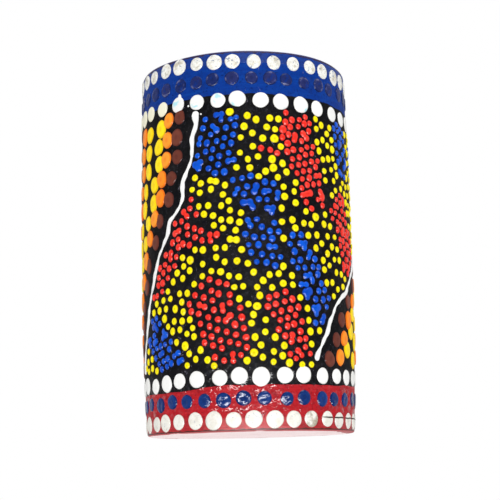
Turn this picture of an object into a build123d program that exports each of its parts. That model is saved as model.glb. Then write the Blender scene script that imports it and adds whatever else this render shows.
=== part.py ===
from build123d import *
import os
from math import cos, radians, sin

# A short, wide rainstick that stands on its lower end. Millimetres and degrees.
# The origin is the centre of the lower face, +Z runs up the tube.

# Outside of the whole stick
length = 115.0
foot_radius = 32.5
head_radius = 33.1
belly = 0.85
belly_share = 0.35
profile_steps = 8

# Tube and end discs
bore_radius = 26.5
disc_thickness = 4.0
rim_round = 0.6
seam_bevel = 0.2

# Pins, driven in through the wall along a helix
pin_radius = 1.0
pin_clearance = 0.02
pin_tip_radius = 6.0
pin_sink = 0.3
pin_tip_bevel = 0.3
pins_per_turn = 12
pin_turns = 4
first_pin_height = 12.0
first_pin_angle = 15.0
last_pin_height = 103.0

# Pebbles, lying on the lower disc
pebble_radius = 2.0
pebble_half_height = 1.6
pebble_round = 1.4
layer_gap = 0.15
head_room = 0.5

# Where pebbles lie in one channel between two columns of pins: for each layer, distance
# from the axis and offset to the side
channel_layers = [
    [(14.0, 0.0), (18.8, 1.2), (23.6, 2.2), (23.6, -2.2)],
    [(16.2, 0.0), (20.7, -1.0), (24.0, 1.9)],
    [(18.4, 0.5), (23.2, -1.4)],
]

# Where pebbles lie in the open core inside the pin tips: count and distance from the axis
core_layers = [(3, 2.5), (3, 2.5), (1, 0.0)]

turn = 360.0
column_angle = turn / pins_per_turn
pin_rise = (last_pin_height - first_pin_height) / (pins_per_turn * pin_turns - 1)
floor_height = disc_thickness
ceiling_height = length - disc_thickness
layer_rise = 2 * pebble_half_height + layer_gap


def outer_radius(height):
    """Outside radius of the blank: a straight taper with a long, low swell on it."""
    share = height / length
    reach = belly_share if share < belly_share else 1 - belly_share
    swell = 1 - ((share - belly_share) / reach) ** 2
    return foot_radius + (head_radius - foot_radius) * share + belly * swell


def polar(radius, angle, height, side=0.0):
    """A point at this distance along the direction of angle, moved sideways by side."""
    across = radians(angle)
    x = radius * cos(across) - side * sin(across)
    y = radius * sin(across) + side * cos(across)
    return (x, y, height)


def from_axis(edge):
    """Distance from the stick's axis to the centre of a round edge."""
    centre = edge.arc_center
    return Vector(centre.X, centre.Y, 0).length


os.makedirs("parts", exist_ok=True)

# Half section of the whole blank, from which the tube and both discs are cut
profile_heights = [length * step / profile_steps for step in range(profile_steps + 1)]
profile_points = [(outer_radius(height), height) for height in profile_heights]

with BuildSketch() as blank_section:
    with BuildLine():
        Spline(*profile_points)
        Polyline(profile_points[-1], (0, length), (0, 0), profile_points[0])
    make_face()

# Tube, open at both ends
with BuildPart() as tube:
    with BuildSketch(Plane.XZ):
        add(blank_section.sketch)
        with Locations((0, length / 2)):
            Rectangle(4 * head_radius, ceiling_height - floor_height, mode=Mode.INTERSECT)
            Rectangle(2 * bore_radius, length, mode=Mode.SUBTRACT)
    revolve(axis=Axis.Z)
    end_faces = tube.faces().filter_by(GeomType.PLANE)
    outer_edges = end_faces.edges().group_by(SortBy.LENGTH)[-2:]
    chamfer([edge for group in outer_edges for edge in group], seam_bevel)
    seats = []
    for step in range(pins_per_turn * pin_turns):
        angle = first_pin_angle + step * column_angle
        seat = polar(bore_radius, angle, first_pin_height + step * pin_rise)
        outward = polar(1, angle, 0)
        seats.append(Plane(origin=seat, z_dir=outward).offset(-1))
    with BuildSketch(*seats):
        Circle(pin_radius + pin_clearance)
    extrude(amount=2 * (head_radius - bore_radius), mode=Mode.SUBTRACT)
tube.part.label = "tube"
export_step(tube.part, "parts/tube.step")

# Lower end disc, glued flush to the tube's lower end
with BuildPart() as lower_end_disc:
    with BuildSketch(Plane.XZ):
        add(blank_section.sketch)
        with Locations((0, floor_height / 2)):
            Rectangle(4 * head_radius, floor_height, mode=Mode.INTERSECT)
    revolve(axis=Axis.Z)
    rims = lower_end_disc.faces().filter_by(GeomType.PLANE).sort_by(Axis.Z)
    fillet(rims[0].edges(), rim_round)
    chamfer(lower_end_disc.faces().sort_by(Axis.Z)[-1].edges(), seam_bevel)
lower_end_disc.part.label = "lower_end_disc"
export_step(lower_end_disc.part, "parts/lower_end_disc.step")

# Upper end disc, glued flush to the tube's upper end
with BuildPart() as upper_end_disc:
    with BuildSketch(Plane.XZ):
        add(blank_section.sketch)
        with Locations((0, ceiling_height + disc_thickness / 2)):
            Rectangle(4 * head_radius, disc_thickness, mode=Mode.INTERSECT)
    revolve(axis=Axis.Z)
    rims = upper_end_disc.faces().filter_by(GeomType.PLANE).sort_by(Axis.Z)
    fillet(rims[-1].edges(), rim_round)
    chamfer(upper_end_disc.faces().sort_by(Axis.Z)[0].edges(), seam_bevel)
upper_end_disc.part.label = "upper_end_disc"
export_step(upper_end_disc.part, "parts/upper_end_disc.step")

# Pins, one node for each turn of the helix
for pin_turn in range(pin_turns):
    with BuildPart() as pins:
        for step in range(pin_turn * pins_per_turn, (pin_turn + 1) * pins_per_turn):
            angle = first_pin_angle + step * column_angle
            height = first_pin_height + step * pin_rise
            tip = polar(pin_tip_radius, angle, height)
            outward = polar(1, angle, 0)
            pin_length = outer_radius(height) - pin_sink - pin_tip_radius
            with BuildSketch(Plane(origin=tip, z_dir=outward)):
                Circle(pin_radius)
            extrude(amount=pin_length)
        rounds = pins.edges().filter_by(GeomType.CIRCLE)
        tip_edges = rounds.filter_by(lambda edge: from_axis(edge) < pin_tip_radius + pin_radius)
        chamfer(tip_edges, pin_tip_bevel)
    pins.part.label = f"pins_turn_{pin_turn + 1}"
    export_step(pins.part, f"parts/{pins.part.label}.step")

# One pebble, a flat round one with well worn edges, at the origin
with BuildPart() as pebble:
    Cylinder(pebble_radius, 2 * pebble_half_height)
    fillet(pebble.edges().filter_by(GeomType.CIRCLE), pebble_round)

# Pebbles in the channels between the columns of pins, one node for each channel
for channel in range(pins_per_turn):
    channel_angle = first_pin_angle + (channel + 0.5) * column_angle
    hand = 1 if channel % 2 else -1
    with BuildPart() as pebbles:
        for layer, places in enumerate(channel_layers):
            height = floor_height + pebble_half_height + layer * layer_rise
            for distance, side in places:
                with Locations(polar(distance, channel_angle, height, hand * side)):
                    add(pebble.part)
    pebbles.part.label = f"pebbles_channel_{channel + 1:02d}"
    export_step(pebbles.part, f"parts/{pebbles.part.label}.step")

# Pebbles in the open core of the stick
with BuildPart() as core_pebbles:
    for layer, (count, distance) in enumerate(core_layers):
        height = floor_height + pebble_half_height + layer * layer_rise
        for place in range(count):
            angle = place * turn / count + layer * turn / (2 * count)
            with Locations(polar(distance, angle, height)):
                add(pebble.part)
core_pebbles.part.label = "pebbles_core"
export_step(core_pebbles.part, "parts/pebbles_core.step")

stack_height = 2 * pebble_half_height + (len(channel_layers) - 1) * layer_rise
print("pebble travel", ceiling_height - floor_height - stack_height - head_room)
print("pin rise", pin_rise)
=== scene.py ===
"""A hand-painted rainstick, standing on its red end.

Every piece is in metres in the CAD frame, with +Z up the tube and the front towards -Y.
Paint is laid out in millimetres: an angle round the tube, counted from the front towards
+X, and a height above the lower face.
"""

import math
import random

import bpy
import numpy as np
from mathutils import Matrix, Vector


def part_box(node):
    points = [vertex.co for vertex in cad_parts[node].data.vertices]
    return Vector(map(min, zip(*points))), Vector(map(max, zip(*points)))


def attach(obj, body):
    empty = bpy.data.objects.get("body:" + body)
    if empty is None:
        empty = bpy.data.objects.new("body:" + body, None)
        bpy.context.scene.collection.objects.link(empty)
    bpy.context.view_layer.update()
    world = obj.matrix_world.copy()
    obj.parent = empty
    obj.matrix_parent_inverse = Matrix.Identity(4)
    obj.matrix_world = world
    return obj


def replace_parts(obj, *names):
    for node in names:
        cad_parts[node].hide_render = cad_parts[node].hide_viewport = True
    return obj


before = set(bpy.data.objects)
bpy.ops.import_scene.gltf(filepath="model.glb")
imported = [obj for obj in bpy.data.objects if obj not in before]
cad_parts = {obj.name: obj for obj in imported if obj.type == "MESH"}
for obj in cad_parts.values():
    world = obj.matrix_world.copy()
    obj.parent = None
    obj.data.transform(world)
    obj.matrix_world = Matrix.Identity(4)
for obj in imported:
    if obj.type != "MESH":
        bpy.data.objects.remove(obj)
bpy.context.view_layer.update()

MM = 0.001
BODY = "stick"
rng = random.Random(41)

# ------------ the stick's own shape, in mm

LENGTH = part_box("upper_end_disc")[1].z / MM
LOWER_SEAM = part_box("tube")[0].z / MM
UPPER_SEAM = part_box("tube")[1].z / MM
BORE_RADIUS = 26.5
FOOT_RADIUS = 32.5
HEAD_RADIUS = 33.1
BELLY = 0.85
BELLY_SHARE = 0.35
MEAN_RADIUS = 33.3
MM_PER_DEGREE = math.radians(MEAN_RADIUS)
ROUND_SEGMENTS = 300
OVAL_TWICE = 0.10
OVAL_THRICE = 0.06


def wall_radius(theta, height):
    """Outside radius of the painted wood, with the slight ovality of a natural tube."""
    share = np.asarray(height) / LENGTH
    reach = np.where(share < BELLY_SHARE, BELLY_SHARE, 1 - BELLY_SHARE)
    swell = BELLY * (1 - ((share - BELLY_SHARE) / reach) ** 2)
    oval = OVAL_TWICE * np.sin(2 * theta + 0.7)
    oval = oval + OVAL_THRICE * np.sin(3 * theta + 4.0 * share + 1.9)
    return FOOT_RADIUS + (HEAD_RADIUS - FOOT_RADIUS) * share + swell + oval


def on_wall(theta, height, rise=0.0):
    """Points in mm at this angle and height, standing rise proud of the wall."""
    radius = wall_radius(theta, height) + rise
    return np.stack([radius * np.sin(theta), -radius * np.cos(theta), height + 0 * theta], -1)


def wrapped(degrees):
    """The same angle between -180 and 180."""
    return (np.asarray(degrees) + 180.0) % 360.0 - 180.0


# ------------ meshes


def in_scene(name, data):
    """A new object with this data, in the scene."""
    thing = bpy.data.objects.new(name, data)
    bpy.context.scene.collection.objects.link(thing)
    return thing


def make_piece(name, points, faces, material, attributes=None):
    """A smooth mesh piece from points in mm, riding on the stick."""
    mesh = bpy.data.meshes.new(name)
    mesh.from_pydata((np.asarray(points) * MM).tolist(), [], faces)
    mesh.polygons.foreach_set("use_smooth", [True] * len(mesh.polygons))
    for key, values in (attributes or {}).items():
        layer = mesh.attributes.new(key, "FLOAT", "POINT")
        layer.data.foreach_set("value", np.asarray(values, np.float32))
    mesh.materials.append(material)
    piece = in_scene(name, mesh)
    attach(piece, BODY)
    return piece


def lathe(rings):
    """Points, and the faces between the rings, of a turned shape. Each ring is a function of
    angle that gives (radius, height) in mm."""
    theta = np.linspace(0, 2 * math.pi, ROUND_SEGMENTS, endpoint=False)
    points, faces = [], []
    for ring in rings:
        radius, height = ring(theta)
        radius = radius + 0 * theta
        height = height + 0 * theta
        points.append(np.stack([radius * np.sin(theta), -radius * np.cos(theta), height], -1))
    for row in range(len(rings) - 1):
        low, high = row * ROUND_SEGMENTS, (row + 1) * ROUND_SEGMENTS
        for a in range(ROUND_SEGMENTS):
            b = (a + 1) % ROUND_SEGMENTS
            faces.append((low + a, low + b, high + b, high + a))
    return np.concatenate(points), faces


# A drop's rings crowd towards its edge and end in a skirt that dips under the wall's
# surface, so that no gap shows. Shares are of the way out to its outline; depth is in mm.
RING_CROWDING = 0.8
SKIRT_SHARE = 1.04
SKIRT_DEPTH = 0.12
DOME_FLATNESS = 0.55
DIMPLE_SHARE = 0.38
MOST_LEAN = 0.10


class Drops:
    """Paint drops of one colour, gathered into one mesh. Each is a low dome with its own
    outline, which may be two or three drops that ran into each other."""

    def __init__(self):
        self.points, self.faces = [], []
        self.tone, self.edge = [], []
        self.count = 0

    def add(self, angle, height, parts, top, segments, rings, power, dimple=0.0, lift=0.0,
            wobble=0.05):
        """angle in degrees and height in mm place the middle. parts are (across, up, half
        width, half height) in mm of the drops that make it up, and top is how proud it
        stands. A higher power gives a flatter top with a steeper edge; dimple is the depth
        of its middle as a share of top."""
        turn = np.linspace(0, 2 * math.pi, segments, endpoint=False)
        reach = drop_outline(parts, turn)
        for order in (2, 3, 5):
            phase = rng.uniform(0, 2 * math.pi)
            reach = reach * (1 + rng.uniform(0, wobble) / order * 2 * np.sin(order * turn + phase))
        tone = rng.random()
        shares = [((ring + 1) / rings) ** RING_CROWDING for ring in range(rings)]
        shares = [0.0, *shares, SKIRT_SHARE]
        theta0 = math.radians(angle)
        radius0 = float(wall_radius(theta0, height))
        lean = rng.uniform(-MOST_LEAN, MOST_LEAN)
        for share in shares:
            out = reach * share
            across, up = out * np.cos(turn), out * np.sin(turn)
            if share == 0.0:
                across, up = across[:1], up[:1]
            inside = max(0.0, 1 - share ** power)
            rise = lift + top * inside ** DOME_FLATNESS
            rise = rise - dimple * top * math.exp(-((share / DIMPLE_SHARE) ** 2))
            rise = rise * (1 + lean * up / max(1.0, float(reach.max())))
            if share >= 1.0:
                rise = 0 * across + (0.0 if share == 1.0 else -SKIRT_DEPTH)
            self.points.append(on_wall(theta0 + across / radius0, height + up, rise))
            self.tone += [tone] * len(across)
            self.edge += [min(share, 1.0)] * len(across)
        first = self.count
        for a in range(segments):
            b = (a + 1) % segments
            self.faces.append((first, first + 1 + a, first + 1 + b))
            for ring in range(len(shares) - 2):
                low = first + 1 + ring * segments
                self.faces.append((low + a, low + segments + a, low + segments + b, low + b))
        base = first + 1 + (len(shares) - 2) * segments
        self.faces.append(tuple(base + a for a in range(segments)))
        self.count += 1 + (len(shares) - 1) * segments

    def piece(self, name, slot, material):
        return make_piece(name, np.concatenate(self.points), self.faces, material,
                          {"tone": self.tone, "edge": self.edge})


OUTLINE_NEAREST = 0.02
OUTLINE_FURTHEST = 4.5
OUTLINE_STEPS = 90
JOIN_SHARPNESS = 4.2


def drop_outline(parts, turn):
    """Distance from the middle to the edge of drops that have run together, at each turn."""
    if len(parts) == 1:
        across, up, wide, tall = parts[0]
        return wide * tall / np.hypot(tall * np.cos(turn), wide * np.sin(turn))
    steps = np.linspace(OUTLINE_NEAREST, OUTLINE_FURTHEST, OUTLINE_STEPS)[:, None]
    x, y = steps * np.cos(turn), steps * np.sin(turn)
    field = sum(
        np.exp(-JOIN_SHARPNESS * (np.hypot((x - across) / wide, (y - up) / tall) - 1))
        for across, up, wide, tall in parts
    )
    inside = field >= 1
    last = len(steps) - 1 - np.argmax(inside[::-1], axis=0)
    return steps[:, 0][last]


# ------------ materials


class Shader:
    """A node material built up by small calls. Patterns are in object space, in metres, so
    a noise of scale 500 has features of about 2 mm."""

    def __init__(self, name):
        self.material = bpy.data.materials.new(name)
        self.material.use_nodes = True
        self.nodes = self.material.node_tree.nodes
        self.links = self.material.node_tree.links
        self.surface = next(n for n in self.nodes if n.type == "BSDF_PRINCIPLED")
        self.place = self.nodes.new("ShaderNodeTexCoord").outputs["Object"]

    def put(self, socket, value):
        if isinstance(value, bpy.types.NodeSocket):
            self.links.new(value, socket)
        elif isinstance(value, (tuple, list)) and len(value) == 3 and socket.type == "RGBA":
            socket.default_value = (*value, 1.0)
        else:
            socket.default_value = value

    def set(self, **values):
        """Sets the surface shader's own sockets, such as Roughness=0.4."""
        for name, value in values.items():
            self.put(self.surface.inputs[name.replace("_", " ")], value)

    def node(self, kind, **values):
        """A new node with its inputs set to numbers, colours or other nodes' outputs."""
        node = self.nodes.new("ShaderNode" + kind)
        for name, value in values.items():
            self.put(node.inputs[name.replace("_", " ")], value)
        return node

    def noise(self, scale, detail=3.0, rough=0.55, stretch=None, distortion=0.0):
        """stretch scales the place by a different amount along each axis."""
        place = self.place
        if stretch:
            place = self.node("Mapping", Vector=place, Scale=stretch).outputs["Vector"]
        node = self.node("TexNoise", Vector=place, Scale=scale, Detail=detail, Roughness=rough,
                         Distortion=distortion)
        return node.outputs["Fac"]

    def sway(self, scale, reach):
        """A noise centred on 0, times reach."""
        return self.times(self.minus(self.noise(scale, 2.0), 0.5), reach)

    def specks(self, scale, size):
        """1 in small round specks, and 0 elsewhere."""
        node = self.node("TexVoronoi", Vector=self.place, Scale=scale)
        return self.between(node.outputs["Distance"], size, size * 0.5)

    def attribute(self, name):
        node = self.node("Attribute")
        node.attribute_name = name
        return node.outputs["Fac"]

    def axis(self, letter):
        return self.node("SeparateXYZ", Vector=self.place).outputs[letter]

    def from_axis(self):
        """Distance from the stick's axis."""
        across = self.times(self.axis("X"), self.axis("X"))
        along = self.times(self.axis("Y"), self.axis("Y"))
        return self.math("SQRT", self.plus(across, along))

    def from_height(self, height):
        """Distance above or below a height in mm."""
        return self.math("ABSOLUTE", self.minus(self.axis("Z"), height * MM))

    def math(self, kind, a, b=0.0):
        node = self.node("Math")
        node.operation = kind
        self.put(node.inputs[0], a)
        self.put(node.inputs[1], b)
        return node.outputs[0]

    def times(self, a, b):
        return self.math("MULTIPLY", a, b)

    def plus(self, a, b):
        return self.math("ADD", a, b)

    def minus(self, a, b):
        return self.math("SUBTRACT", a, b)

    def between(self, value, low, high, to_low=0.0, to_high=1.0):
        """value mapped smoothly from low..high to to_low..to_high, and held outside."""
        node = self.node("MapRange", Value=value, From_Min=low, From_Max=high, To_Min=to_low,
                         To_Max=to_high)
        node.interpolation_type = "SMOOTHSTEP"
        return node.outputs["Result"]

    def lay(self, under, over, pattern, low, high, most=1.0):
        """Colour over on top of under where pattern rises from low to high, at most so much."""
        return self.mix(self.between(pattern, low, high, 0.0, most), under, over)

    def mix(self, amount, a, b):
        node = self.node("Mix")
        node.data_type = "RGBA"
        for name, value in (("Factor", amount), ("A", a), ("B", b)):
            self.put(node.inputs[name], value)
        return node.outputs["Result"]

    def add(self, a, b):
        """The sum of two colours."""
        node = self.node("VectorMath")
        node.operation = "ADD"
        self.put(node.inputs[0], a)
        self.put(node.inputs[1], b)
        return node.outputs[0]

    def bump(self, height, distance, strength=1.0):
        node = self.node("Bump", Strength=strength, Distance=distance, Height=height)
        return node.outputs["Normal"]


# Ground colours, and the wear and dust on them
BLACK = (0.0050, 0.0050, 0.0060)
BLACK_WORN = (0.012, 0.011, 0.012)
BAND_RED = (0.42, 0.008, 0.014)
RED_LIGHT = (0.56, 0.030, 0.038)
RED_DEEP = (0.17, 0.004, 0.010)
BAND_BLUE = (0.0, 0.031, 0.25)
BLUE_LIGHT = (0.001, 0.052, 0.32)
BLUE_DEEP = (0.004, 0.020, 0.13)
BLUE_WORN = (0.014, 0.028, 0.18)
DUST = (0.30, 0.27, 0.26)
HAZE = (0.55, 0.55, 0.75)
PITS = (0.0, 0.0, 0.01)
SCUFFS = (0.26, 0.24, 0.32)
RIM_WORN = (0.045, 0.018, 0.014)
NONE = (0.0, 0.0, 0.0)

# Where the bands meet the black, and how wide the change is and how far handling reaches
# from a rim, all in mm
RED_EDGE = 13.2
BLUE_EDGE = 101.2
EDGE_SOFT = 0.06
RIM_WEAR = 1.5


def band_colours(shader):
    """Ground colour by height, with hand-painted edges: red below, blue above, else black.
    Returns it with the brush strokes' pattern and the part that is red."""
    z = shader.axis("Z")
    edge = shader.plus(shader.plus(z, shader.sway(55, 0.0028)), shader.sway(900, 0.0003))
    tilted = shader.minus(edge, shader.times(shader.axis("X"), 0.026))
    red_part = shader.between(tilted, (RED_EDGE + EDGE_SOFT) * MM, (RED_EDGE - EDGE_SOFT) * MM)
    blue_part = shader.between(edge, (BLUE_EDGE - EDGE_SOFT) * MM, (BLUE_EDGE + EDGE_SOFT) * MM)

    # Each colour with its brush strokes, mottling and worn places
    strokes = shader.noise(160, 5.0, 0.65, stretch=(1, 1, 9))
    blotch = shader.noise(120, 4.0, 0.6)
    mottle = shader.noise(300, 4.0, 0.65)
    black = shader.lay(BLACK, BLACK_WORN, blotch, 0.40, 0.75)
    dust = shader.times(shader.specks(520, 0.10), shader.between(blotch, 0.5, 0.7))
    black = shader.mix(shader.times(dust, 0.35), black, DUST)
    red = shader.lay(BAND_RED, RED_LIGHT, strokes, 0.38, 0.75, 0.6)
    red = shader.lay(red, RED_DEEP, mottle, 0.50, 0.72, 0.55)
    blue = shader.lay(BAND_BLUE, BLUE_LIGHT, strokes, 0.38, 0.75, 0.7)
    blue = shader.lay(blue, BLUE_DEEP, mottle, 0.50, 0.72, 0.45)
    blue = shader.lay(blue, BLUE_WORN, blotch, 0.58, 0.74, 0.5)
    colour = shader.mix(blue_part, shader.mix(red_part, black, red), blue)

    # A fine haze of dust, less of it on the blue, then dark pits and pale scuffs
    dusty = shader.between(shader.noise(850, 4.0, 0.75), 0.50, 0.68, 0.0, 0.022)
    dusty = shader.times(dusty, shader.between(blue_part, 0.0, 1.0, 1.0, 0.25))
    colour = shader.add(colour, shader.mix(dusty, NONE, HAZE))
    grain = shader.noise(1300, 4.0, 0.7)
    colour = shader.lay(colour, PITS, grain, 0.52, 0.70, 0.5)
    hairs = shader.noise(360, 5.0, 0.75, stretch=(1, 1, 0.6), distortion=2.5)
    hairs = shader.between(hairs, 0.63, 0.68)
    shown = shader.between(shader.noise(75, 2.0), 0.45, 0.58, 0.0, 0.60)
    colour = shader.mix(shader.times(hairs, shown), colour, SCUFFS)
    return colour, strokes, red_part


def worn_rim(shader, colour, height):
    """Darkens the paint along the rim at this height, where handling has worn it."""
    away = shader.from_height(height)
    ragged = shader.times(shader.noise(420, 4.0), RIM_WEAR * MM)
    rim = shader.math("LESS_THAN", away, ragged)
    return shader.mix(shader.times(rim, 0.85), colour, RIM_WORN)


VARNISH_AT_FOOT = 0.95
VARNISH_ABOVE = 0.02


def varnish(shader):
    """A clear brushed coat, thick and beaded round the stick's foot, and thin above."""
    patches = shader.times(shader.noise(70, 2.0), 0.010)
    level = shader.plus(shader.axis("Z"), patches)
    foot = shader.between(level, 0.026, 0.018)
    beads = shader.between(shader.noise(430, 4.0, 0.7), 0.50, 0.58, 0.12, 1.0)
    thick = shader.times(foot, beads)
    weight = shader.between(thick, 0.0, 1.0, VARNISH_ABOVE, VARNISH_AT_FOOT)
    shader.set(Coat_Weight=weight, Coat_Roughness=0.06)
    shader.set(Coat_Normal=shader.bump(shader.noise(560, 1.5, 0.4), 0.00080), Coat_IOR=1.7)


def ground_paint():
    """The varnished black ground with its red and blue bands."""
    shader = Shader("ground_paint")
    colour, strokes, red_part = band_colours(shader)
    colour = worn_rim(shader, colour, LENGTH)
    colour = worn_rim(shader, colour, 0.0)
    lumps = shader.noise(700, 4.0, 0.6)
    rough = shader.between(shader.noise(230, 3.0), 0.3, 0.7, 0.42, 0.58)
    height = shader.plus(shader.times(strokes, 0.7), lumps)
    banded = shader.plus(shader.times(red_part, 0.75), 0.25)
    height = shader.times(height, banded)
    shader.set(Base_Color=colour, Roughness=rough, Normal=shader.bump(height, 0.00022, 0.75))
    shader.set(Specular_IOR_Level=0.06)
    varnish(shader)
    return shader.material


def drop_paint(name, colour, deep, light, rough=0.34, coat=1.0, lumpy=False,
               ring=None, dimple_shade=0.30):
    """Thick glossy paint drops. Each has its own tone between colour and light, and is
    deeper at its edge. heart is how much darker its middle is: painted shade in the dimple
    where the tool lifted off. ring is the colour of a painted highlight, a pale ring in
    pieces near the edge, and lumpy is of the clear coat."""
    shader = Shader(name)
    tone = shader.attribute("tone")
    edge = shader.attribute("edge")
    own = shader.lay(colour, light, tone, 0.0, 1.0)
    swirl = shader.noise(500, 3.0, 0.6)
    own = shader.lay(own, deep, swirl, 0.50, 0.85, 0.45)
    own = shader.lay(own, deep, edge, 0.74, 1.0, 0.75)
    # Painted shade: the middle darkened, as shade in the dimple where the tool lifted off
    own = shader.lay(own, deep, edge, 0.42, 0.15, dimple_shade)
    # Painted highlight: a pale ring, in pieces, near the edge, where a glossy rim would catch the
    # light
    if ring:
        rim = shader.times(shader.between(edge, 0.52, 0.80), shader.between(edge, 1.0, 0.86))
        highlight_breaks = shader.between(shader.noise(380, 4.0, 0.65), 0.50, 0.64, 0.0, 0.8)
        own = shader.lay(own, BAND_BLUE, shader.noise(640, 4.0, 0.7), 0.50, 0.66, 0.6)
        own = shader.mix(shader.times(rim, highlight_breaks), own, ring)
    ripple = shader.noise(1300, 2.0, 0.5)
    shader.set(Base_Color=own, Normal=shader.bump(ripple, 0.00010, 0.6))
    shader.set(Roughness=shader.between(ripple, 0.3, 0.7, rough - 0.06, rough + 0.08))
    shader.set(Coat_Weight=coat, Coat_Roughness=0.08, Coat_IOR=1.6, Specular_IOR_Level=0.05)
    if lumpy:
        shader.set(Coat_Normal=shader.bump(shader.noise(620, 1.5, 0.4), 0.00060))
    return shader.material


# What dirties white paint
HANDLING = (0.50, 0.45, 0.34)
SCRATCHES = (0.30, 0.28, 0.24)
BLUE_STAINS = (0.16, 0.22, 0.34)
WARM_STAINS = (0.72, 0.58, 0.30)
THUMB_DIRT = (0.30, 0.24, 0.14)
CREAM = (0.90, 0.86, 0.62)
DROP_EDGE = (0.30, 0.27, 0.24)
CRACK = (0.035, 0.028, 0.022)


def white_paint(name, colour, grime, seam_crack=False, tint=None, creamed=False):
    """White drops. grime is how far handling has greyed them, with fine dark scratches.
    seam_crack adds the glue line that has opened across the drops on the right and a soiled
    place beside it, tint is the colour of a few spots, and creamed yellows the left."""
    shader = Shader(name)
    tone = shader.attribute("tone")
    edge = shader.attribute("edge")
    own = shader.lay(colour, tuple(c * 0.94 for c in colour), tone, 0.0, 1.0)
    smudge = shader.noise(420, 5.0, 0.65)
    centre = shader.between(edge, 0.95, 0.55, 0.35, 1.0)
    dirt = shader.times(shader.between(smudge, 0.42, 0.66, 0.0, grime), centre)
    own = shader.mix(dirt, own, HANDLING)
    hairs = shader.noise(1500, 5.0, 0.75, stretch=(1, 1, 2), distortion=1.0)
    own = shader.lay(own, SCRATCHES, hairs, 0.54, 0.66, grime * 0.8)
    own = shader.lay(own, BLUE_STAINS, shader.noise(1100, 3.0, 0.6), 0.60, 0.68, grime)
    own = shader.lay(own, WARM_STAINS, shader.noise(700, 4.0, 0.7), 0.54, 0.66, grime * 0.35)
    if seam_crack:
        x = shader.axis("X")
        thumb = shader.between(x, 0.0155, 0.0165)
        thumb = shader.times(thumb, shader.between(x, 0.0210, 0.0195))
        front = shader.between(shader.axis("Y"), 0.0, -0.01)
        soiled = shader.times(shader.between(smudge, 0.40, 0.60, 0.0, 0.8), front)
        own = shader.mix(shader.times(thumb, soiled), own, THUMB_DIRT)
    if creamed:
        own = shader.lay(own, CREAM, shader.axis("X"), -0.021, -0.025, 0.8)
    if tint:
        own = shader.lay(own, tint, shader.noise(260, 2.0, 0.5), 0.62, 0.70, 0.7)
    own = shader.lay(own, DROP_EDGE, edge, 0.86, 1.0, 0.25)
    if seam_crack:
        above = shader.minus(shader.axis("Z"), LOWER_SEAM * MM)
        line = shader.math("ABSOLUTE", shader.plus(above, shader.sway(300, 0.0004)))
        line = shader.between(line, 0.00030, 0.00014)
        open_side = shader.between(shader.axis("X"), 0.020, 0.023)
        own = shader.mix(shader.times(line, open_side), own, CRACK)
    ripple = shader.noise(800, 3.0, 0.55)
    shader.set(Base_Color=own, Roughness=shader.between(smudge, 0.3, 0.7, 0.30, 0.48))
    shader.set(Normal=shader.bump(ripple, 0.00016, 0.6), Coat_Weight=0.25, Coat_Roughness=0.14)
    return shader.material


WASH = (0.96, 0.90, 0.90)


def disc_paint(name, band, wood, face_height, stain):
    """An end disc: band paint on its side, and bare washed wood on its flat face, with the
    band's paint run over the rim in a ragged edge."""
    shader = Shader(name)
    side, strokes, _ = band_colours(shader)
    side = worn_rim(shader, side, face_height)
    grain = shader.noise(130, 6.0, 0.7, stretch=(1, 12, 1), distortion=0.6)
    pores = shader.noise(1500, 3.0, 0.6, stretch=(1, 5, 1))
    face = shader.lay(wood, tuple(c * 0.88 for c in wood), grain, 0.35, 0.68)
    face = shader.lay(face, stain, pores, 0.54, 0.70, 0.55)
    wash = shader.noise(110, 5.0, 0.7, stretch=(1, 6, 1))
    face = shader.lay(face, WASH, wash, 0.42, 0.70, 0.6)
    smear = shader.noise(60, 5.0, 0.65)
    face = shader.lay(face, stain, smear, 0.54, 0.76, 0.5)
    radius = shader.from_axis()
    ragged = shader.times(shader.noise(150, 4.0, 0.6), 0.0022)
    drips = shader.between(shader.noise(48, 3.0, 0.6), 0.46, 0.70, 0.0, 0.0032)
    reach = shader.plus(shader.plus(radius, ragged), drips)
    run_over = shader.between(reach, 0.0329, 0.0333)
    face = shader.mix(shader.times(run_over, 0.9), face, band)
    on_face = shader.between(shader.from_height(face_height), 0.00045, 0.00025)
    height = shader.mix(on_face, strokes, grain)
    shader.set(Base_Color=shader.mix(on_face, side, face))
    shader.set(Roughness=shader.between(on_face, 0.0, 1.0, 0.34, 0.72))
    shader.set(Normal=shader.bump(height, 0.00025, 0.6), Coat_Weight=0.15, Coat_Roughness=0.2)
    return shader.material


def pin_bamboo():
    """Split bamboo: pale, with fine darker fibres."""
    shader = Shader("pin_bamboo_fibres")
    fibres = shader.noise(2200, 4.0, 0.65)
    patches = shader.noise(300, 3.0)
    colour = shader.lay((0.62, 0.46, 0.25), (0.38, 0.25, 0.12), fibres, 0.35, 0.7)
    colour = shader.lay(colour, (0.75, 0.62, 0.40), patches, 0.5, 0.8, 0.5)
    shader.set(Base_Color=colour, Roughness=0.65, Normal=shader.bump(fibres, 0.0001, 0.5))
    return shader.material


def pebble_stone():
    """Small river stones, each its own grey or brown, finely mottled."""
    shader = Shader("pebble_mottle")
    each = shader.node("NewGeometry").outputs["Random Per Island"]
    mottle = shader.noise(1600, 5.0, 0.7)
    own = shader.mix(each, (0.24, 0.22, 0.21), (0.42, 0.33, 0.25))
    colour = shader.lay(own, (0.12, 0.11, 0.10), mottle, 0.4, 0.7)
    shader.set(Base_Color=colour, Roughness=0.6, Normal=shader.bump(mottle, 0.0001, 0.6))
    return shader.material


# ------------ tube and discs

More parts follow.
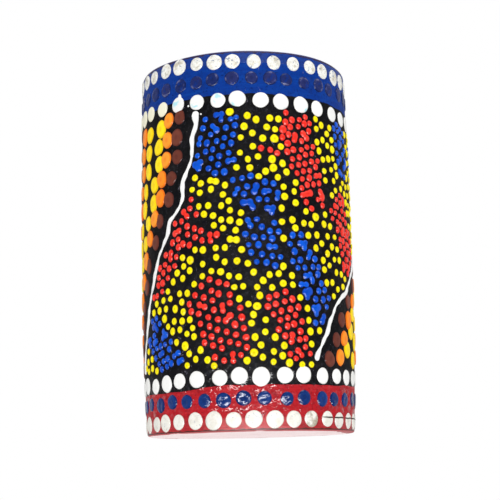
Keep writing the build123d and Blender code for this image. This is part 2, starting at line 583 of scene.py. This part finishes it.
# SEAM_EDGE is how far from a glue line the paint starts to sink. HALF_SUNK is how far it has
# sunk halfway, and UPPER_SUNK how far the upper line sinks, as shares of the lower one's
# depth. Lengths are in mm and angles in degrees.
SEAM_EDGE = 0.16
HALF_SUNK = 0.35
UPPER_SUNK = 0.1
SIDE_START = 1.2
GLUE_DEPTH = 0.035
CRACK_DEPTH = 0.16
CRACK_ANGLE = 58
CRACK_SPREAD = 22
RIM_ROUND = 0.6
RIM_STEPS = 5
SIDE_STEPS = 6
WALL_STEPS = 130
FACE_SHARES = (0.25, 0.5, 0.75, 0.9)
AXIS_HOLE = 0.01


def seam_depth(theta):
    """How far in mm the paint sinks into the lower glue line: most on the right-hand side."""
    open_crack = np.exp(-((wrapped(np.degrees(theta)) - CRACK_ANGLE) / CRACK_SPREAD) ** 2)
    return GLUE_DEPTH + CRACK_DEPTH * open_crack + 0.02 * np.sin(5 * theta + 1)


def wall_ring(height, sunk=0.0):
    return lambda theta: (wall_radius(theta, height) - sunk * seam_depth(theta), height)


def painted_tube(material):
    """The painted wall with its bore, closed by making the last ring the first one."""
    rings = [lambda theta: (BORE_RADIUS, LOWER_SEAM)]
    rings.append(wall_ring(LOWER_SEAM, 1.0))
    low, high = LOWER_SEAM + SEAM_EDGE, UPPER_SEAM - SEAM_EDGE
    rings.append(wall_ring(LOWER_SEAM + SEAM_EDGE / 2, HALF_SUNK))
    rings += [wall_ring(low + (high - low) * k / WALL_STEPS) for k in range(WALL_STEPS + 1)]
    rings.append(wall_ring(UPPER_SEAM - SEAM_EDGE / 2, HALF_SUNK * UPPER_SUNK))
    rings.append(wall_ring(UPPER_SEAM, UPPER_SUNK))
    rings.append(lambda theta: (BORE_RADIUS, UPPER_SEAM))
    rings.append(lambda theta: (BORE_RADIUS, LOWER_SEAM))
    points, faces = lathe(rings)
    last = len(points) - ROUND_SEGMENTS
    faces = [tuple(p - last if p >= last else p for p in face) for face in faces]
    tube = make_piece("painted_tube", points[:last], faces, material)
    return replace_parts(tube, "tube")


def end_disc(name, node, face, seam, material):
    """A disc from its flat face to the glue seam, with a worn round rim."""
    up = 1 if seam > face else -1
    rings = [lambda theta: (AXIS_HOLE, face)]
    for share in FACE_SHARES:

        def flat(theta, share=share):
            return share * (wall_radius(theta, face) - RIM_ROUND), face

        rings.append(flat)
    for k in range(RIM_STEPS + 1):
        lean = math.pi / 2 * k / RIM_STEPS

        def rim(theta, lean=lean):
            worn = RIM_ROUND * (1 + 0.25 * np.sin(4 * theta + 2) + 0.2 * np.sin(7 * theta))
            inward = worn * (1 - math.sin(lean))
            return wall_radius(theta, face) - inward, face + up * worn * (1 - math.cos(lean))

        rings.append(rim)
    start, end = face + up * SIDE_START * RIM_ROUND, seam - up * SEAM_EDGE
    steps = range(1, SIDE_STEPS + 1)
    rings += [wall_ring(start + (end - start) * k / SIDE_STEPS) for k in steps]
    sunk = UPPER_SUNK if up < 0 else 1.0
    rings.append(wall_ring(seam - up * SEAM_EDGE / 2, HALF_SUNK * sunk))
    rings.append(wall_ring(seam, sunk))
    rings.append(lambda theta: (AXIS_HOLE, seam))
    points, faces = lathe(rings if up > 0 else rings[::-1])
    tail = len(points) - ROUND_SEGMENTS
    faces.append(tuple(range(ROUND_SEGMENTS))[::-1])
    faces.append(tuple(range(tail, tail + ROUND_SEGMENTS)))
    disc = make_piece(name, points, faces, material)
    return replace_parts(disc, node)


# ------------ layout of the painting

# White lines as (angle, height) from top to bottom. The front field lies between them.
LEFT_LINE = [(-26.5, 97), (-26, 93), (-28.5, 88), (-28.5, 83), (-32, 78), (-34.5, 75.5),
             (-34.5, 71), (-37, 67.5), (-43.5, 64), (-46, 59.5), (-52, 55), (-55.5, 51),
             (-60, 45), (-64.5, 40), (-67, 35), (-71, 29.5), (-75, 25), (-77, 19)]
RIGHT_LINE = [(137, 97), (131, 92), (129, 87), (119, 82), (113, 77), (110, 73), (101, 69),
              (97, 63), (88, 58), (80, 52), (71, 47), (64, 42.5), (56, 39.5), (52.5, 37.5),
              (47.5, 33), (44, 28.5), (39, 24), (36.5, 20.5)]
STRIPE_WIDTH = 66

# Columns of ovals across a stripe: angle from the line next to the front field, colour,
# half width, half height, spacing, how far below the highest its top is, and its lift
STRIPE_COLUMNS = [
    (10.2, "brown", 2.20, 2.55, 6.3, 0.0, 0.00),
    (17.8, "orange", 2.40, 2.90, 6.1, 0.3, 0.16),
    (24.5, "yellow", 2.35, 2.75, 5.8, 2.2, 0.06),
    (36.3, "yellow", 2.30, 2.80, 5.9, 2.4, 0.06),
    (44.8, "orange", 2.35, 2.75, 5.9, 1.8, 0.16),
    (53.0, "brown", 2.20, 2.55, 6.3, 0.4, 0.00),
]
OVAL_LOW = 20.6
OVAL_HIGH = 96.3
OVAL_SHAPE = {"top": 0.34, "segments": 28, "rings": 6, "power": 3.0, "dimple": 0.12, "wobble": 0.07}

# Islands of small drops as (colour, spacing, half width, points of its spine)
ISLANDS = [
    ("blue", 2.75, 7.3, [(-14, 91), (-17, 83)]),
    ("blue", 2.7, 5.1, [(0, 71), (10, 69.5)]),
    ("blue", 2.7, 5.1, [(8, 66), (9, 52.5)]),
    ("blue", 2.65, 5.0, [(29, 54), (36, 43), (43, 34)]),
    ("blue", 2.5, 5.6, [(-60, 30), (-45, 23)]),
    ("blue", 2.5, 4.4, [(62, 92), (65, 83)]),
    ("red", 2.5, 5.3, [(27, 93), (31, 84), (38, 71)]),
    ("red", 2.6, 2.2, [(9, 84), (22, 82)]),
    ("red", 2.65, 4.9, [(-34, 67), (-42, 58), (-55, 46)]),
    ("red", 2.65, 3.0, [(-36, 58), (-20, 58)]),
    ("red", 2.85, 7.2, [(-19, 38), (-11, 27)]),
    ("red", 2.65, 4.5, [(17, 37), (22, 31), (27, 24)]),
    ("red", 2.45, 5.3, [(59, 68), (69, 53)]),
    ("blue", 2.7, 5.4, [(92, 88), (100, 80)]),
    ("red", 2.6, 4.4, [(112, 92), (120, 91)]),
    ("blue", 2.8, 5.6, [(228, 90), (236, 80)]),
    ("red", 2.7, 6.0, [(206, 74), (214, 66)]),
    ("red", 2.8, 4.6, [(250, 70), (244, 60)]),
    ("blue", 2.9, 5.8, [(180, 60), (186, 50)]),
    ("blue", 2.6, 5.2, [(224, 50), (216, 42)]),
    ("red", 3.0, 6.4, [(150, 44), (160, 36)]),
    ("red", 2.7, 5.6, [(190, 32), (196, 24)]),
    ("blue", 2.8, 5.4, [(124, 27), (134, 23)]),
    ("blue", 2.7, 4.0, [(164, 22), (172, 23)]),
]

# Rows of big drops round the stick as (piece, count, angle of the first, height, half
# width, half height, how proud, power, dimple, waver in height, rise to the right)
ROWS = [
    ("worn_drops_upper", 34, 6.0, 111.6, 2.42, 2.40, 0.30, 6, 0.15, 0.30, -0.6),
    ("navy_drops_upper", 36, 4.0, 106.2, 2.25, 2.20, 0.34, 3, 0.35, 0.25, 0.0),
    ("white_drops_upper", 31, -3.0, 99.4, 2.60, 2.55, 0.32, 6, 0.12, 0.30, -1.2),
    ("white_drops_lower", 32, -4.5, 15.8, 2.58, 2.58, 0.32, 6, 0.12, 0.40, 0.9),
    ("navy_drops_lower", 34, -2.5, 9.35, 2.30, 2.25, 0.38, 3, 0.30, 0.35, 0.3),
    ("worn_drops_lower", 34, 2.0, 3.35, 2.50, 2.45, 0.26, 6, 0.12, 0.20, 0.0),
]
ROW_SHAKE = 0.09
ROW_SEGMENTS = 36
ROW_RINGS = 7

# Slips of the white brush as (angle, height, half width, half height)
SLIPS = [(-36.2, 102.2, 0.62, 1.35), (-30.5, 99.0, 0.30, 0.34), (-23.0, 95.8, 0.28, 0.28)]

# The dotted fields, in mm. PITCH and CLEAR keep drops apart from each other and from lines.
FIELD_LOW = 19.2
FIELD_HIGH = 95.6
ISLAND_SLANT = 25
ISLAND_REACH = 24
ROW_SHARE = 0.92
HAND_SHAKE = 0.2
ISLAND_EDGE = 0.5
ISLAND_PITCH = 1.9
ISLAND_LINE_CLEAR = 1.75
YELLOW_PITCH = 2.58
YELLOW_CLEAR = 2.4
YELLOW_LINE_CLEAR = 1.9
YELLOW_SHUFFLE = 0.5
YELLOW_TRIES = 20000

# Small drops, and how those near each other ran together
SMALL_SEGMENTS = 14
JOINED_SEGMENTS = 44
SMALL_RINGS = 4
SMALL_POWER = 2.2
MOST_JOINED = 3
JOIN_REACH = 2.8
PULLED_IN = 0.72
LARGER_CHANCE = 0.05
LARGER = 1.22
DIMPLED_PART = 0.6

# White lines, in mm
LINE_HALF = 0.66
LINE_THINNEST = 0.02
LINE_TOP = 0.30
LINE_SUNK = 0.10
LINE_ACROSS = 9
CURVE_STEPS = 400
CURVE_SMOOTH = 0.55
CURVE_STRAIGHT = 0.45


def along(line):
    """Many (angle, height) points on a curve through the line's points."""
    knots = np.array([line[0], *line, line[-1]], float)
    out = []
    spans = len(line) - 1
    for k in range(CURVE_STEPS + 1):
        where = k / CURVE_STEPS * spans
        span = min(int(where), spans - 1)
        t = where - span
        a, b, c, d = knots[span:span + 4]
        smooth = 0.5 * (2 * b + (c - a) * t + (2 * a - 5 * b + 4 * c - d) * t * t
                        + (3 * b - a - 3 * c + d) * t ** 3)
        straight = b + (c - b) * t
        out.append(CURVE_SMOOTH * smooth + CURVE_STRAIGHT * straight)
    return np.array(out)


left_curve = along(LEFT_LINE)
right_curve = along(RIGHT_LINE)


def angle_at(curve, height):
    """Angle of a white line at this height."""
    return np.interp(-np.asarray(height), -curve[:, 1], curve[:, 0])


def apart(angle, height, places):
    """Distances in mm over the wall from one point to many (angle, height) places."""
    angles, heights = np.asarray(places).T
    return np.hypot(wrapped(angle - angles) * MM_PER_DEGREE, height - heights)


def nearest(angle, height, places):
    return apart(angle, height, places).min()


# Each stripe has a line of its own on its far side
far_left = left_curve - [STRIPE_WIDTH, 0]
far_right = right_curve + [STRIPE_WIDTH, 0]
LINES = {"left": left_curve, "right": right_curve, "far_left": far_left, "far_right": far_right}
line_points = np.concatenate(list(LINES.values()))


def in_field(angle, height):
    """True between the stripes, on the front field or on the back one."""
    if not FIELD_LOW <= height <= FIELD_HIGH:
        return False
    left, right = angle_at(left_curve, height), angle_at(right_curve, height)
    from_left = (angle - left) % 360
    front = from_left < right - left
    back = right - left + STRIPE_WIDTH < from_left < 360 - STRIPE_WIDTH
    return front or back


def spine_distance(angle, height, spine):
    """Distance in mm from a point to an island's spine."""
    best = math.inf
    for (a0, h0), (a1, h1) in zip(spine, spine[1:]):
        ax = float(wrapped(a0 - angle)) * MM_PER_DEGREE
        bx = ax + (a1 - a0) * MM_PER_DEGREE
        ay, by = h0 - height, h1 - height
        dx, dy = bx - ax, by - ay
        t = max(0.0, min(1.0, -(ax * dx + ay * dy) / (dx * dx + dy * dy)))
        best = min(best, math.hypot(ax + t * dx, ay + t * dy))
    return best


def lay_islands():
    """Small red and blue drops: rows that follow each island's own slant, set by hand, so
    a little uneven. Returns (colour, angle, height) for each."""
    laid = []
    for colour, pitch, radius, spine in ISLANDS:
        slant = math.radians(rng.uniform(-ISLAND_SLANT, ISLAND_SLANT))
        shift = rng.uniform(0, pitch)
        mid_angle = sum(p[0] for p in spine) / len(spine)
        mid_height = sum(p[1] for p in spine) / len(spine)
        reach = int(ISLAND_REACH / pitch)
        for row in range(-reach, reach + 1):
            for column in range(-reach, reach + 1):
                u = (column + 0.5 * (row % 2)) * pitch + shift
                v = row * pitch * ROW_SHARE
                x = u * math.cos(slant) - v * math.sin(slant) + rng.gauss(0, HAND_SHAKE)
                y = u * math.sin(slant) + v * math.cos(slant) + rng.gauss(0, HAND_SHAKE)
                angle, height = mid_angle + x / MM_PER_DEGREE, mid_height + y
                edge = radius + rng.uniform(-ISLAND_EDGE, ISLAND_EDGE)
                if not in_field(angle, height) or spine_distance(angle, height, spine) > edge:
                    continue
                if nearest(angle, height, line_points) < ISLAND_LINE_CLEAR:
                    continue
                if laid and nearest(angle, height, [spot[1:] for spot in laid]) < ISLAND_PITCH:
                    continue
                laid.append((colour, angle, height))
    return laid


def lay_yellow(laid):
    """Yellow drops fill the ways between the islands, in rows that follow their outlines."""
    islands = np.array([spot[1:] for spot in laid])
    tries = []
    for _ in range(YELLOW_TRIES):
        angle = rng.uniform(-180, 180)
        height = rng.uniform(FIELD_LOW, FIELD_HIGH)
        if not in_field(angle, height):
            continue
        from_island = nearest(angle, height, islands)
        from_line = nearest(angle, height, line_points)
        if from_island > YELLOW_CLEAR and from_line > YELLOW_LINE_CLEAR:
            tries.append((from_island + rng.uniform(0, YELLOW_SHUFFLE), angle, height))
    found = []
    for _, angle, height in sorted(tries):
        if not found or nearest(angle, height, found) > YELLOW_PITCH:
            found.append((angle, height))
    return found


def run_together(places, chance):
    """Groups of neighbouring drops. A group of more than one has run together."""
    groups, used = [], set()
    for k in range(len(places)):
        if k in used:
            continue
        group = [k]
        used.add(k)
        while len(group) < MOST_JOINED and rng.random() < chance:
            far = apart(*places[group[-1]], places)
            near = [j for j in np.argsort(far)[1:5] if far[j] < JOIN_REACH and int(j) not in used]
            if not near:
                break
            group.append(int(near[0]))
            used.add(int(near[0]))
        groups.append([places[j] for j in group])
    return groups


def small_drops(places, size, spread, top, chance, dimple):
    """A piece's worth of small drops, some of them run together. size is their radius, give
    or take spread of it, and chance is that of one more joining a group."""
    drops = Drops()
    for group in run_together(places, chance):
        angle, height = group[len(group) // 2]
        if len(group) == 2:
            angle += float(wrapped(group[0][0] - angle)) / 2
            height = (group[0][1] + group[1][1]) / 2
        pull = PULLED_IN if len(group) > 1 else 1.0
        parts = []
        for a, h in group:
            radius = size * rng.uniform(1 - spread, 1 + spread)
            if rng.random() < LARGER_CHANCE:
                radius *= LARGER
            across = float(wrapped(a - angle)) * MM_PER_DEGREE * pull
            tall = radius * rng.uniform(0.96, 1.14)
            parts.append((across, (h - height) * pull, radius, tall))
        if len(group) == 1:
            parts = [(0, 0, parts[0][2], parts[0][3])]
        sunk = dimple if rng.random() < DIMPLED_PART else 0.0
        segments = SMALL_SEGMENTS if len(group) == 1 else JOINED_SEGMENTS
        drops.add(angle, height, parts, top * rng.uniform(0.85, 1.15), segments, SMALL_RINGS,
                  SMALL_POWER, sunk)
    return drops


def ring_of_drops(count, phase, height, half_width, half_height, top, power, dimple, waver,
                  tilt):
    """One row of big drops round the stick."""
    drops = Drops()
    for k in range(count):
        angle = phase + (k + rng.uniform(-ROW_SHAKE, ROW_SHAKE)) * 360 / count
        level = height + rng.uniform(-waver, waver) + tilt * math.sin(math.radians(angle))
        size = rng.uniform(0.88, 1.06)
        parts = [(0, 0, half_width * size, half_height * size * rng.uniform(0.97, 1.05))]
        drops.add(angle, level, parts, top * rng.uniform(0.85, 1.15), ROW_SEGMENTS, ROW_RINGS,
                  power, dimple, wobble=0.03)
    return drops


def stripe_ovals():
    """Columns of touching ovals in both stripes, by colour."""
    colours = {"brown": Drops(), "orange": Drops(), "yellow": Drops()}
    for curve, side in ((left_curve, -1), (right_curve, 1)):
        for offset, colour, wide, tall, pitch, start, lift in STRIPE_COLUMNS:
            height = OVAL_HIGH - start - rng.uniform(0, 0.8)
            while height > OVAL_LOW:
                angle = float(angle_at(curve, height)) + side * offset + rng.uniform(-0.8, 0.8)
                size = rng.uniform(0.90, 1.08)
                parts = [(0, 0, wide * size, tall * size * rng.uniform(0.90, 1.03))]
                colours[colour].add(angle, height, parts, lift=lift, **OVAL_SHAPE)
                height -= pitch * rng.uniform(0.93, 1.06)
    return colours


def painted_line(name, curve, head, tail, material):
    """A raised white line, thick where the brush slowed, with a round blob at its top and a
    smaller one at its foot. head and tail are their half widths in mm."""
    count = len(curve)
    flat = np.stack([curve[:, 0] * MM_PER_DEGREE, curve[:, 1]], -1)
    along_line = np.gradient(flat, axis=0)
    along_line /= np.linalg.norm(along_line, axis=1)[:, None]
    side = np.stack([-along_line[:, 1], along_line[:, 0]], -1)
    travelled = np.concatenate([[0], np.cumsum(np.linalg.norm(np.diff(flat, axis=0), axis=1))])
    phase = rng.uniform(0, 6)

    # The brush's slow and quick changes in width, and its slight sway from side to side
    wave = 0.18 * np.sin(travelled * 0.42 + phase) + 0.08 * np.sin(travelled * 1.7 + phase)
    half = LINE_HALF + wave
    flat = flat + side * (0.10 * np.sin(travelled * 1.1 + 2 * phase))[:, None]

    # Blobs at both ends, with round ends to them
    from_top, from_end = travelled, travelled[-1] - travelled
    blob = head * np.sqrt(np.clip(1 - ((from_top - head) / head) ** 2, 0, 1))
    neck = half + (head - LINE_HALF) * np.exp(-((from_top - head) / 2.6) ** 2)
    foot = (tail - LINE_HALF) * np.exp(-((from_end - tail) / 1.8) ** 2)
    half = np.where(from_top < head, blob, neck + foot)
    cap = np.sqrt(np.clip(1 - ((tail - np.minimum(from_end, tail)) / tail) ** 2, 0, 1))
    half = np.maximum(half * cap, LINE_THINNEST)

    points, edge = [], []
    for share in np.linspace(-1, 1, LINE_ACROSS):
        place = flat + side * (half * share)[:, None]
        rise = LINE_TOP * np.sqrt(max(0.0, 1 - share ** 4)) * np.clip(half / LINE_HALF, 0.2, 1.2)
        rise = rise - (LINE_SUNK if abs(share) == 1 else 0.0)
        points.append(on_wall(np.radians(place[:, 0] / MM_PER_DEGREE), place[:, 1], rise))
        edge += [abs(share)] * count
    faces = []
    for row in range(LINE_ACROSS):
        following = (row + 1) % LINE_ACROSS
        for k in range(count - 1):
            a, b = row * count + k, following * count + k
            faces.append((a, b, b + 1, a + 1))
    faces.append(tuple(row * count for row in range(LINE_ACROSS))[::-1])
    faces.append(tuple(row * count + count - 1 for row in range(LINE_ACROSS)))
    tone = [0.5] * (count * LINE_ACROSS)
    return make_piece(name, np.concatenate(points), faces, material,
                      {"tone": tone, "edge": edge})


# ------------ build the stick

painted_tube(ground_paint())
end_disc("lower_disc", "lower_end_disc", 0.0, LOWER_SEAM,
         disc_paint("lower_disc_paint", BAND_RED, (0.96, 0.76, 0.76), 0.0, (0.55, 0.26, 0.26)))
end_disc("upper_disc", "upper_end_disc", LENGTH, UPPER_SEAM,
         disc_paint("upper_disc_paint", BAND_BLUE, (0.72, 0.58, 0.50), LENGTH,
                    (0.36, 0.24, 0.18)))

white = white_paint("white_drops", (0.93, 0.93, 0.91), 0.05)
white_upper = white_paint("white_drops_upper", (0.93, 0.93, 0.91), 0.05, tint=(0.25, 0.72, 0.82),
                          creamed=True)
worn_upper = white_paint("worn_white_upper", (0.93, 0.93, 0.88), 0.85, tint=(0.20, 0.36, 0.55))
worn_lower = white_paint("worn_white_lower", (0.87, 0.855, 0.79), 0.35, seam_crack=True)
line_white = white_paint("line_white", (0.92, 0.93, 0.92), 0.05)
# navy_on_blue has a painted highlight: a pale ring, in pieces, on each drop's rim
navy_on_blue = drop_paint("navy_on_blue", (0.010, 0.022, 0.115), (0.005, 0.012, 0.060),
                          (0.024, 0.030, 0.13), 0.24, 0.35, ring=(0.14, 0.15, 0.30))
navy_on_red = drop_paint("navy_on_red", (0.006, 0.028, 0.145), (0.003, 0.012, 0.075),
                         (0.010, 0.040, 0.20), 0.22, 1.0, True)
red = drop_paint("small_red", (0.88, 0.030, 0.018), (0.60, 0.010, 0.008),
                 (0.94, 0.046, 0.028), coat=0.9)
blue = drop_paint("small_blue", (0.001, 0.070, 0.55), (0.001, 0.036, 0.32),
                  (0.002, 0.10, 0.68), coat=0.9)
# The yellow drops have the most painted shade in their dimples
yellow = drop_paint("small_yellow", (0.94, 0.80, 0.002), (0.62, 0.42, 0.002),
                    (0.97, 0.86, 0.003), coat=0.25, dimple_shade=0.5)
oval_yellow = drop_paint("oval_yellow", (0.95, 0.70, 0.004), (0.75, 0.45, 0.004),
                         (0.98, 0.78, 0.01), 0.4, 0.2)
oval_orange = drop_paint("oval_orange", (0.95, 0.25, 0.012), (0.75, 0.12, 0.008),
                         (0.95, 0.33, 0.03), 0.4, 0.2)
oval_brown = drop_paint("oval_brown", (0.140, 0.036, 0.024), (0.085, 0.018, 0.014),
                        (0.17, 0.046, 0.030), 0.38, 0.25)

row_paints = [worn_upper, navy_on_blue, white_upper, white, navy_on_red, worn_lower]
for (row_name, *row), paint in zip(ROWS, row_paints):
    row_slot = "paint_navy" if row_name.startswith("navy") else "paint_white"
    ring_of_drops(*row).piece(row_name, row_slot, paint)

slips = Drops()
for angle, height, wide, tall in SLIPS:
    slips.add(angle, height, [(0, 0, wide, tall)], 0.22, 16, 4, 3, lift=0.05)
slips.piece("slips_of_white", "paint_white", line_white)

laid = lay_islands()
small_drops([(a, h) for c, a, h in laid if c == "red"], 0.97, 0.10, 0.46, 0.10, 0.12).piece(
    "small_drops_red", "paint_dot_red", red)
small_drops([(a, h) for c, a, h in laid if c == "blue"], 0.96, 0.12, 0.46, 0.34, 0.12).piece(
    "small_drops_blue", "paint_dot_blue", blue)
small_drops(lay_yellow(laid), 1.03, 0.10, 0.40, 0.06, 0.30).piece(
    "small_drops_yellow", "paint_dot_yellow", yellow)

oval_paints = [oval_brown, oval_orange, oval_yellow]
for (colour, drops), paint in zip(stripe_ovals().items(), oval_paints):
    drops.piece(f"ovals_{colour}", f"paint_dot_{colour}", paint)

for line_name, curve in LINES.items():
    painted_line(f"white_line_{line_name}", curve, 1.4, 1.2, line_white)

bamboo, stone = pin_bamboo(), pebble_stone()
for node_name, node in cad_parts.items():
    if node_name.startswith(("pins_", "pebbles_")):
        node.data.materials.clear()
        node.data.materials.append(bamboo if node_name.startswith("pins_") else stone)

# ------------ floor, light and camera


FLOOR_HALF = 3.0
FLOOR_DROP = 0.0001
FADE_START = 0.12
FADE_END = 0.85
PALE_PAPER = (0.86, 0.86, 0.87)


def floor():
    """A pale floor that shows only from above, so that the stick's lower face stays in view
    from a camera lower than it. It takes the stick's shadow, gives none, and fades into the
    white of the room."""
    mesh = bpy.data.meshes.new("floor")
    corners = [(-1, -1), (1, -1), (1, 1), (-1, 1)]
    corners = [(x * FLOOR_HALF, y * FLOOR_HALF, -FLOOR_DROP) for x, y in corners]
    mesh.from_pydata(corners, [], [(0, 1, 2, 3)])
    sheet = in_scene("floor", mesh)
    sheet.visible_shadow = False
    sheet.visible_diffuse = False
    sheet.visible_glossy = False
    shader = Shader("floor_paper")
    far = shader.between(shader.from_axis(), FADE_START, FADE_END)
    shader.set(Base_Color=shader.mix(far, PALE_PAPER, NONE))
    shader.set(Roughness=0.9, Specular_IOR_Level=0.0)
    shader.set(Emission_Color=(1.0, 1.0, 1.0), Emission_Strength=far)
    below = shader.node("NewGeometry").outputs["Backfacing"]
    clear = shader.node("BsdfTransparent")
    join = shader.node("MixShader", Fac=below)
    output = next(n for n in shader.nodes if n.type == "OUTPUT_MATERIAL")
    shader.links.new(shader.surface.outputs[0], join.inputs[1])
    shader.links.new(clear.outputs[0], join.inputs[2])
    shader.links.new(join.outputs[0], output.inputs["Surface"])
    mesh.materials.append(shader.material)


def area_light(name, place, target, size, watts, seen_in="both", flatness=1.0):
    """A round soft light, as wide as size and flatness times as tall. seen_in is both,
    gloss or colour: what it lights."""
    data = bpy.data.lights.new(name, "AREA")
    data.shape = "ELLIPSE"
    data.size = size
    data.size_y = size * flatness
    data.energy = watts
    lamp = in_scene(name, data)
    lamp.location = place
    lamp.visible_diffuse = seen_in != "gloss"
    lamp.visible_glossy = seen_in != "colour"
    lamp.rotation_euler = (Vector(target) - Vector(place)).to_track_quat("-Z", "Y").to_euler()


ROOM_REFLECTED = {"From Min": -0.3, "From Max": 1.0, "To Min": 0.01, "To Max": 0.5}


def white_room():
    """An even white room. Reflections see it dark in front of the stick and paler behind."""
    world = bpy.data.worlds.new("white_room")
    bpy.context.scene.world = world
    world.use_nodes = True
    nodes, links = world.node_tree.nodes, world.node_tree.links
    nodes.clear()
    place = nodes.new("ShaderNodeTexCoord")
    split = nodes.new("ShaderNodeSeparateXYZ")
    links.new(place.outputs["Generated"], split.inputs[0])
    depth = nodes.new("ShaderNodeMapRange")
    for end, value in ROOM_REFLECTED.items():
        depth.inputs[end].default_value = value
    links.new(split.outputs["Y"], depth.inputs["Value"])
    ray = nodes.new("ShaderNodeLightPath")
    shown = None
    for light_ray, strength in ((None, 0.95), ("Is Glossy Ray", depth.outputs["Result"]),
                                ("Is Camera Ray", 1.0)):
        light = nodes.new("ShaderNodeBackground")
        light.inputs["Color"].default_value = (1, 1, 1, 1)
        if isinstance(strength, float):
            light.inputs["Strength"].default_value = strength
        else:
            links.new(strength, light.inputs["Strength"])
        if shown is None:
            shown = light.outputs[0]
            continue
        join = nodes.new("ShaderNodeMixShader")
        links.new(ray.outputs[light_ray], join.inputs[0])
        links.new(shown, join.inputs[1])
        links.new(light.outputs[0], join.inputs[2])
        shown = join.outputs[0]
    out = nodes.new("ShaderNodeOutputWorld")
    links.new(shown, out.inputs["Surface"])


CAMERA_PLACE = Vector((0.0, -0.390, -0.01235))
CAMERA_PITCH = 0.1813
CAMERA_YAW = 0.0026
CAMERA_ROLL = -0.0226
CAMERA_LENS = 88.4
SENSOR_WIDTH = 36.0


def set_camera():
    """A little lower than the foot of the stick, and looking up along it."""
    ahead = Vector((math.sin(CAMERA_YAW) * math.cos(CAMERA_PITCH),
                    math.cos(CAMERA_YAW) * math.cos(CAMERA_PITCH), math.sin(CAMERA_PITCH)))
    level = Vector((math.cos(CAMERA_YAW), -math.sin(CAMERA_YAW), 0.0))
    upright = level.cross(ahead)
    right = math.cos(CAMERA_ROLL) * level + math.sin(CAMERA_ROLL) * upright
    up = -math.sin(CAMERA_ROLL) * level + math.cos(CAMERA_ROLL) * upright
    data = bpy.data.cameras.new("camera")
    data.lens = CAMERA_LENS
    data.sensor_width = SENSOR_WIDTH
    data.clip_start = 0.01
    camera = in_scene("camera", data)
    turn = Matrix((right, up, -ahead)).transposed().to_4x4()
    camera.matrix_world = Matrix.Translation(CAMERA_PLACE) @ turn
    bpy.context.scene.camera = camera


floor()
white_room()
middle = (0, 0, LENGTH / 2 * MM)
area_light("gloss_panel", (0.0, -0.40, -0.075), middle, 0.75, 1.9, "gloss", 0.09)
area_light("soft_front", (0.10, -1.70, 0.75), middle, 0.9, 7.5, "colour")
area_light("bounce_from_table", (0.0, -0.20, -0.50), (0, 0, 0), 0.40, 0.65, "colour")
area_light("gloss_from_table", (0.05, -0.24, -0.26), middle, 0.16, 0.75, "gloss")
area_light("soft_overhead", (0.15, -0.25, 0.75), middle, 0.5, 1.2)
set_camera()
bpy.context.scene.view_settings.view_transform = "Standard"
